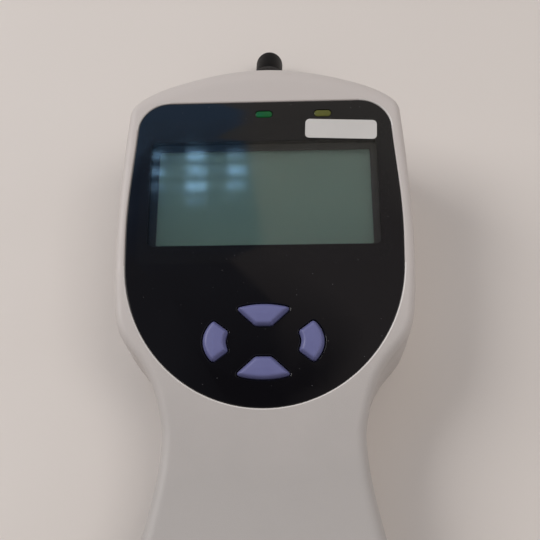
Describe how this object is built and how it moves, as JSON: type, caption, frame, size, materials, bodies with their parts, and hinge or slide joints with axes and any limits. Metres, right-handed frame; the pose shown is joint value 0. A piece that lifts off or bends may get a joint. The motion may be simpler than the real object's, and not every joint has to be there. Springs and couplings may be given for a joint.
{
  "type": "handheld tympanometer",
  "caption": "Handheld ear tester with a wedge head, a round-ended black fascia with display and keys, a waisted handle with a battery foot, and a down-angled probe with a soft ear tip.",
  "frame": {"origin": "middle of the bounding box, on the plane that the back rests on", "axes": "+Y from the foot towards the probe, +Z out of the keypad side, +X to the user's right"},
  "size_m": [0.08, 0.2238, 0.0398],
  "materials": {
    "casing": "fine textured, matt warm grey",
    "fascia": "glossy black",
    "window": "clear, glossy",
    "film": "clear protective film",
    "label": "bare white paper-like film",
    "keys": "satin lavender",
    "keypad_mat": "matt silicone rubber",
    "green_light": "moulded green light pipe",
    "yellow_light": "moulded yellow light pipe",
    "led": "glossy lamp body",
    "display_bezel": "matt black mask",
    "display": "grey-green liquid crystal cell",
    "backlight": "white diffuser",
    "board": "green solder mask",
    "chip": "black moulded package",
    "probe": "black moulded manifold",
    "o_ring": "black rubber",
    "washer": "translucent silicone",
    "probe_tip": "natural white moulding",
    "nose_cone": "satin black",
    "ear_tip": "soft dark silicone",
    "transducers": "drawn metal can",
    "pump_barrel": "clear moulded barrel",
    "piston": "black rubber",
    "screws": "zinc plated",
    "motor": "plated motor can",
    "bracket": "folded sheet",
    "tube": "translucent silicone tube",
    "contacts": "nickel-plated spring strip",
    "cells": "shrink-sleeved cell",
    "infrared": "dark red filter"
  },
  "bodies": {
    "housing": {"front_casing": "casing", "rear_casing": "casing", "fascia_panel": "fascia", "display_window": "window", "display_film": "film", "film_label": "label", "keypad_mat": "keypad_mat", "green_light_pipe": "green_light", "green_led": "led", "yellow_light_pipe": "yellow_light", "yellow_led": "led", "display_bezel": "display_bezel", "display_glass": "display", "display_backlight": "backlight", "main_board": "board", "pressure_sensor": "chip", "probe_snout": "casing", "probe_body": "probe", "probe_o_ring": "o_ring", "sealing_washer": "washer", "receiver": "transducers", "microphone": "transducers", "pump_cylinder": "pump_barrel", "pump_motor": "motor", "pump_bracket": "bracket", "air_tube": "tube", "terminal_positive": "contacts", "terminal_negative": "contacts", "link_middle": "contacts", "link_left": "contacts", "link_right": "contacts", "infrared_window": "infrared", "case_screw_1": "screws", "board_screw_1": "screws", "battery_cell_1": "cells", "case_screw_2": "screws", "board_screw_2": "screws", "battery_cell_2": "cells", "case_screw_3": "screws", "board_screw_3": "screws", "battery_cell_3": "cells", "case_screw_4": "screws", "board_screw_4": "screws", "battery_cell_4": "cells"},
    "key_up": {"key_up": "keys"},
    "key_right": {"key_right": "keys"},
    "key_down": {"key_down": "keys"},
    "key_left": {"key_left": "keys"},
    "battery_cover": {"battery_cover": "casing"},
    "probe_tip": {"probe_tip": "probe_tip"},
    "nose_cone": {"nose_cone": "nose_cone"},
    "ear_tip": {"ear_tip": "ear_tip"},
    "lead_screw": {"lead_screw": "screws"},
    "pump_piston": {"pump_piston": "piston"}
  },
  "joints": [
    {"name": "key_up_press", "type": "slide", "parent": "housing", "child": "key_up", "axis": [0, 0.1392, -0.9903], "range_m": [0, 0.0007], "stiffness_N_per_m": 600},
    {"name": "key_right_press", "type": "slide", "parent": "housing", "child": "key_right", "axis": [0, 0.1392, -0.9903], "range_m": [0, 0.0007], "stiffness_N_per_m": 600},
    {"name": "key_down_press", "type": "slide", "parent": "housing", "child": "key_down", "axis": [0, 0.1392, -0.9903], "range_m": [0, 0.0007], "stiffness_N_per_m": 600},
    {"name": "key_left_press", "type": "slide", "parent": "housing", "child": "key_left", "axis": [0, 0.1392, -0.9903], "range_m": [0, 0.0007], "stiffness_N_per_m": 600},
    {"name": "cover_slide", "type": "slide", "parent": "housing", "child": "battery_cover", "axis": [0, -1, 0], "range_m": [0, 0.06]},
    {"name": "tip_travel", "type": "slide", "parent": "housing", "child": "probe_tip", "axis": [0, 0.9135, -0.4067], "range_m": [0, 0.004]},
    {"name": "cone_turn", "type": "hinge", "parent": "probe_tip", "child": "nose_cone", "pos_m": [0, 0.07809, 0.0186], "axis": [0, 0.9135, -0.4067], "range_deg": [0, 900]},
    {"name": "ear_tip_pull", "type": "slide", "parent": "nose_cone", "child": "ear_tip", "axis": [0, 0.9135, -0.4067], "range_m": [0, 0.008]},
    {"name": "screw_turn", "type": "hinge", "parent": "housing", "child": "lead_screw", "pos_m": [0.017, 0.03, 0.011], "axis": [0, 1, 0], "range_deg": [-360, 900]},
    {"name": "piston_travel", "type": "slide", "parent": "housing", "child": "pump_piston", "axis": [0, 1, 0], "range_m": [-0.002, 0.005]}
  ],
  "couplings": [
    {"joint": "cone_turn", "follows": "tip_travel", "rad_per_m": 3927},
    {"joint": "screw_turn", "follows": "piston_travel", "rad_per_m": 3141.6}
  ]
}
